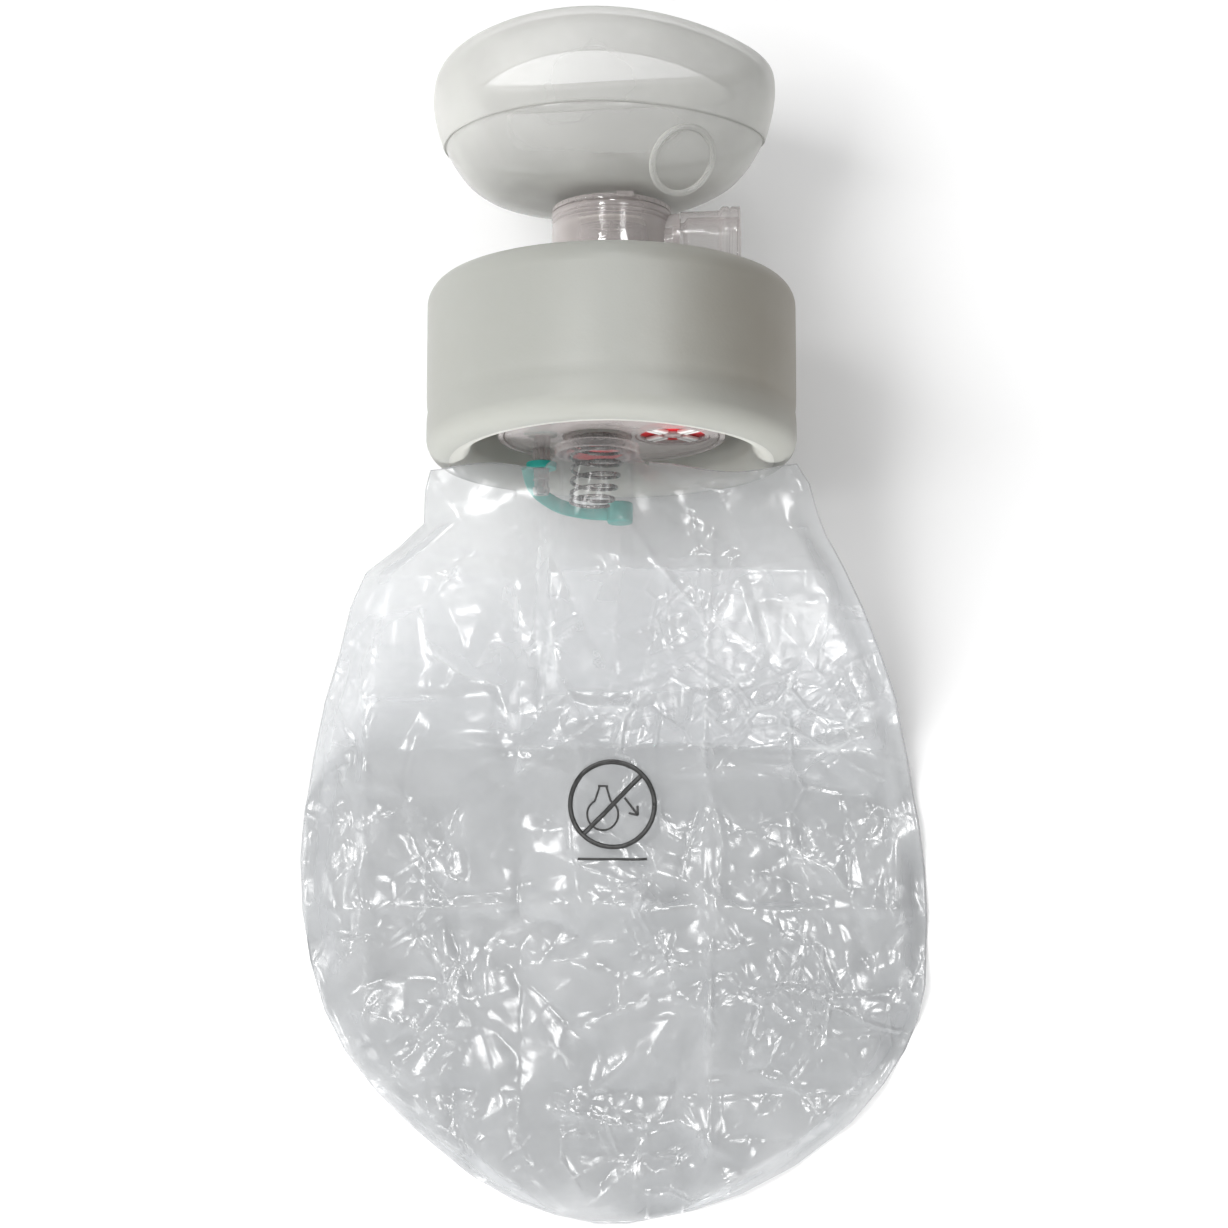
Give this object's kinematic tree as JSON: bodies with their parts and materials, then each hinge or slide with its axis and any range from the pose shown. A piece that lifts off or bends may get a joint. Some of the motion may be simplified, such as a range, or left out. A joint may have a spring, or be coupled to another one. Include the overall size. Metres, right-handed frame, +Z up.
{
  "type": "bag valve mask",
  "caption": "Manual resuscitator stored with its squeeze bag pushed in on itself: face mask, swivelling patient valve, squeeze bag, intake and reservoir valves, flat film reservoir bag.",
  "frame": {"origin": "on the table under the middle of the object's length and width, as it lies", "axes": "+Z up from the table, +Y along the device axis towards the face mask, +X towards the exhaust port and the mask's nose end"},
  "size_m": [0.2253, 0.415, 0.13],
  "materials": {
    "silicone_bag": "frosted translucent silicone",
    "mask_silicone": "semi-clear silicone",
    "cushion_silicone": "frosted silicone",
    "clear_plastic": "clear moulded polysulfone, faint warm grey tint",
    "white_plastic": "moulded white plastic",
    "pale_rubber": "pale silicone rubber",
    "red_rubber": "red silicone rubber",
    "teal_silicone": "teal silicone rubber",
    "steel_wire": "bright drawn wire",
    "film": "clear soft film"
  },
  "bodies": {
    "bag": {"bag_front_half": "silicone_bag", "front_neck_ring": "white_plastic", "bag_mount": "clear_plastic", "swivel_oring": "pale_rubber"},
    "patient_valve": {"valve_body": "clear_plastic", "exhale_port": "clear_plastic", "valve_seat": "clear_plastic", "patient_connector": "clear_plastic"},
    "mask": {"mask_dome": "mask_silicone", "mask_cushion": "cushion_silicone"},
    "lip_valve": {"lip_valve": "pale_rubber"},
    "exhale_disc": {"exhale_disc": "pale_rubber"},
    "rear_assembly": {"bag_rear_half": "silicone_bag", "rear_neck_ring": "white_plastic", "intake_housing": "clear_plastic", "intake_seat": "clear_plastic", "housing_gasket": "pale_rubber", "reservoir_valve_housing": "clear_plastic", "reservoir_face_plate": "clear_plastic", "air_inlet_grille": "clear_plastic", "overflow_grille": "clear_plastic", "reservoir_neck_tube": "clear_plastic", "neck_clamp_ring": "white_plastic", "anti_collapse_spring": "steel_wire", "oxygen_nipple": "clear_plastic", "oxygen_cap_strap": "teal_silicone", "reservoir_bag": "film"},
    "intake_flap": {"intake_flap": "red_rubber"},
    "air_inlet_flap": {"air_inlet_flap": "red_rubber"},
    "overflow_flap": {"overflow_flap": "red_rubber"}
  },
  "joints": [
    {"name": "valve_swivel", "type": "hinge", "parent": "bag", "child": "patient_valve", "pos_m": [0, 0.1335, 0.065], "axis": [0, 1, 0], "continuous": true},
    {"name": "mask_swivel", "type": "hinge", "parent": "patient_valve", "child": "mask", "pos_m": [0, 0.155, 0.065], "axis": [0, 1, 0], "continuous": true},
    {"name": "lip_lift", "type": "slide", "parent": "patient_valve", "child": "lip_valve", "axis": [0, 1, 0], "range_m": [0, 0.001], "stiffness_N_per_m": 60},
    {"name": "exhale_lift", "type": "slide", "parent": "patient_valve", "child": "exhale_disc", "axis": [0, -1, 0], "range_m": [0, 0.0015], "stiffness_N_per_m": 60},
    {"name": "bag_unfold", "type": "slide", "parent": "bag", "child": "rear_assembly", "axis": [0, -1, 0], "range_m": [0, 0.072], "deforming": ["bag_rear_half"]},
    {"name": "intake_lift", "type": "slide", "parent": "rear_assembly", "child": "intake_flap", "axis": [0, 1, 0], "range_m": [0, 0.0015], "stiffness_N_per_m": 60},
    {"name": "air_inlet_lift", "type": "slide", "parent": "rear_assembly", "child": "air_inlet_flap", "axis": [0, 1, 0], "range_m": [0, 0.0015], "stiffness_N_per_m": 60},
    {"name": "overflow_lift", "type": "slide", "parent": "rear_assembly", "child": "overflow_flap", "axis": [0, -1, 0], "range_m": [0, 0.0015], "stiffness_N_per_m": 60}
  ]
}
